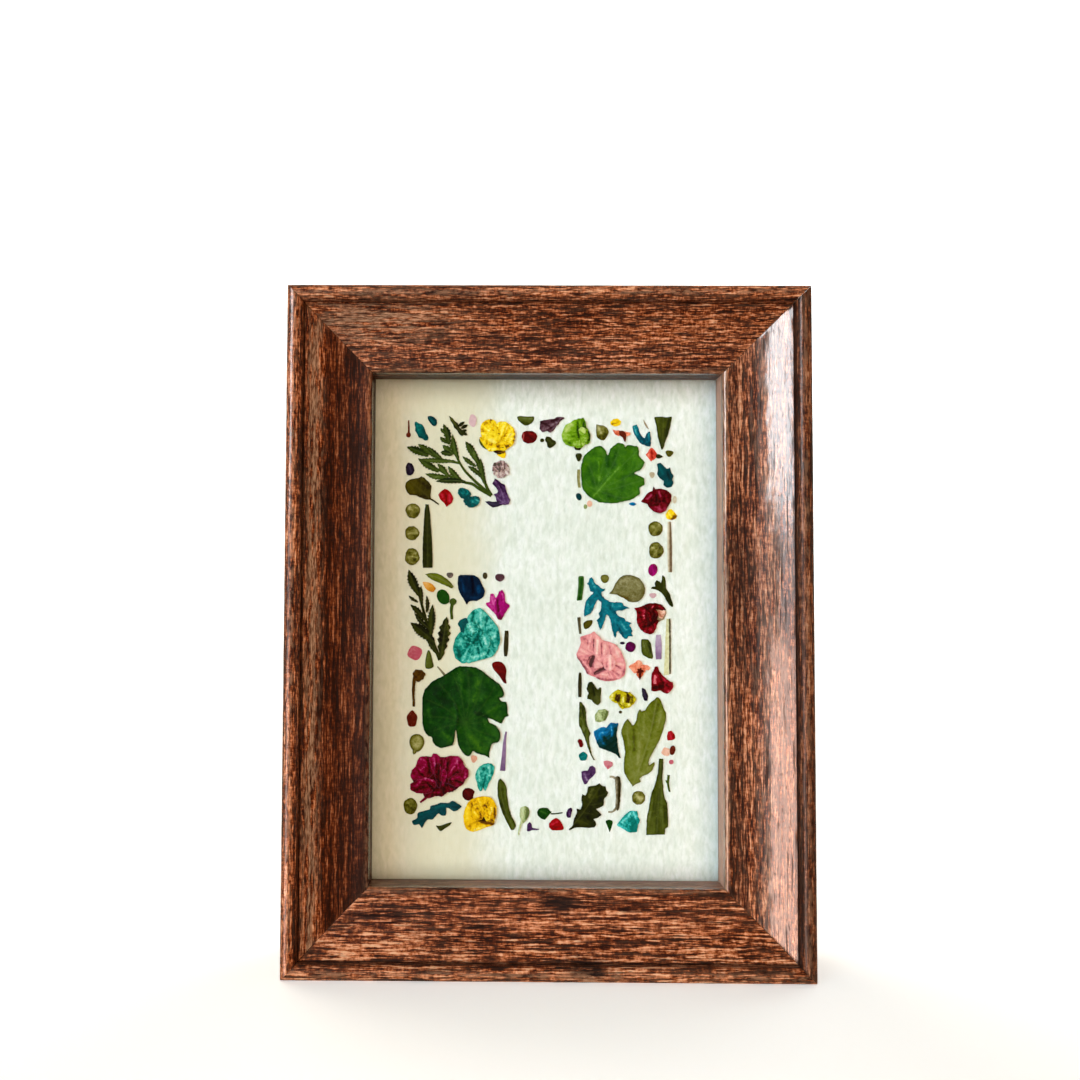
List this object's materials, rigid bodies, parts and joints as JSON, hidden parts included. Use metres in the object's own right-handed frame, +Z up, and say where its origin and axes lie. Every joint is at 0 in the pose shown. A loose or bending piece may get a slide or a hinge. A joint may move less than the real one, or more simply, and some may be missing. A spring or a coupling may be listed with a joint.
{
  "type": "pressed flower frame",
  "caption": "Small upright wooden frame with dried leaves, petals and blossoms behind glass, laid out on white card round a bare cross.",
  "frame": {"origin": "middle of the bottom edge, at floor level and half way through the depth", "axes": "+Z up the frame, -Y out of the front through the glass, +X to the right seen from the front"},
  "size_m": [0.082, 0.02, 0.1075],
  "materials": {
    "moulding": "semi-gloss dark red-brown streaked finish",
    "glass": "polished clear float glass",
    "card": "off-white cold-press watercolour paper",
    "board": "plain grey-brown board",
    "metal": "plain bent sheet",
    "green": "dried leaf, satin",
    "olive": "dried leaf, matt",
    "dark_green": "dried leaf and fern, matt",
    "teal": "dyed leaf and petal, matt",
    "aqua": "dyed petal, matt, mottled",
    "navy": "dyed petal, matt",
    "yellow": "dried blossom, matt",
    "pink": "dried petal, satin",
    "coral": "dried flower, matt",
    "magenta": "dried flower, matt",
    "crimson": "dried flower, matt",
    "purple": "dried petal, matt",
    "brown": "dried stem, matt"
  },
  "bodies": {
    "root": {"rail_top": "moulding", "rail_bottom": "moulding", "rail_left": "moulding", "rail_right": "moulding", "glass_pane": "glass", "art_card": "card", "backing_board": "board", "tab_upper_left": "metal", "tab_lower_left": "metal", "tab_upper_right": "metal", "tab_lower_right": "metal", "petal_teal_narrow": "teal", "sprig_dark_bit": "dark_green", "blossom_yellow_top": "yellow", "fern_right": "dark_green", "fern_middle": "dark_green", "fern_left": "dark_green", "flower_purple": "purple", "leaf_heart_olive": "olive", "petal_crimson": "crimson", "petal_teal_double": "teal", "bar_dark_leaf": "dark_green", "petal_plum": "purple", "blossom_green": "green", "flower_coral_small": "coral", "petal_teal_vee": "teal", "wedge_leaf_small": "olive", "leaf_lobed_bright": "green", "leaf_teal_small": "teal", "flower_burgundy": "crimson", "fern_small_left": "dark_green", "fern_small_right": "dark_green", "leaf_olive_narrow": "olive", "petal_navy": "navy", "petal_magenta_lobed": "magenta", "petal_aqua_big": "aqua", "leaf_brown_curled": "brown", "leaf_big_green": "green", "carnation_magenta": "magenta", "petal_aqua_oval": "aqua", "fern_serrated_teal": "teal", "blossom_yellow_low": "yellow", "leaf_olive_slender": "olive", "bud_pale": "green", "leaf_teal_lobed": "teal", "leaf_olive_round": "olive", "sprig_forked": "dark_green", "flower_dark_red": "crimson", "blossom_pink": "pink", "flower_coral_star": "coral", "flower_crimson_bell": "crimson", "flower_yellow_dark": "yellow", "leaf_oak_small": "olive", "leaf_lance_olive": "olive", "leaf_olive_lobed": "olive", "petal_blue_fan": "teal", "leaf_oak_dark": "dark_green", "stem_grey_curved": "brown", "petal_aqua_small": "aqua", "wedge_leaf_tall": "olive"}
  },
  "joints": []
}
